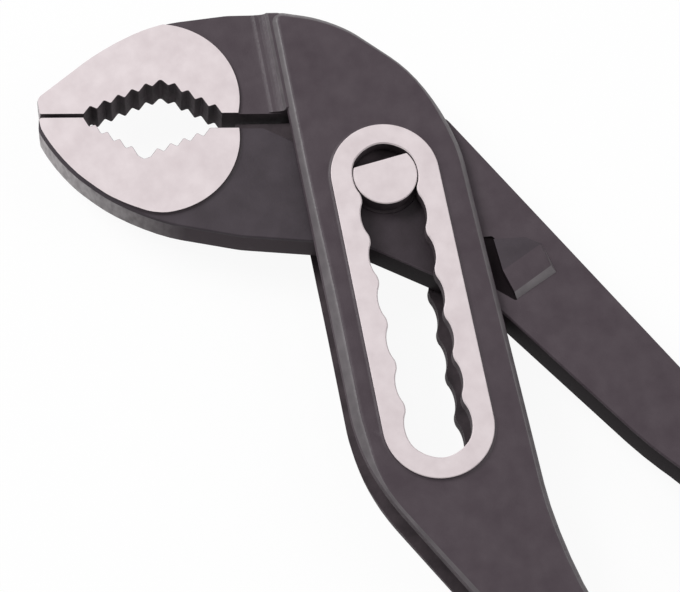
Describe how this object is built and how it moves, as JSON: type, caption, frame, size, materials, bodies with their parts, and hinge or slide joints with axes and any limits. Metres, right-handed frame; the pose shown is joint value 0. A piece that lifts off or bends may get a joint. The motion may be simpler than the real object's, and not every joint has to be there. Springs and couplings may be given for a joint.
{
  "type": "water pump pliers",
  "caption": "Box-joint slip adjusting pliers with toothed V jaws, a scalloped slot for a flatted pin, and two sleeved handles, for gripping pipes and nuts.",
  "frame": {"origin": "on the joint pin's axis with the jaws shut at the first slot position, on the plane that the pliers lie on", "axes": "+X along the slot towards the handles, the jaws point to -Y, +Z along the pin, away from the plane that the pliers lie on"},
  "size_m": [0.2497, 0.1438, 0.0143],
  "materials": {
    "forged_steel": "blackened forging, satin, ground bright on jaw faces and boss rings",
    "ground_steel": "ground bright",
    "sleeve_vinyl": "dipped vinyl, satin"
  },
  "bodies": {
    "slotted_leg": {"slotted_leg": "forged_steel", "slotted_leg_grip": "sleeve_vinyl"},
    "joint_pin": {"joint_pin": "ground_steel"},
    "sliding_leg": {"sliding_leg": "forged_steel", "sliding_leg_grip": "sleeve_vinyl"}
  },
  "joints": [
    {"name": "jaw_adjust", "type": "slide", "parent": "slotted_leg", "child": "joint_pin", "axis": [1, 0, 0], "range_m": [0, 0.0468]},
    {"name": "jaw_pivot", "type": "hinge", "parent": "joint_pin", "child": "sliding_leg", "pos_m": [0, 0, 0.00675], "axis": [0, 0, 1], "range_deg": [0, 85]}
  ]
}
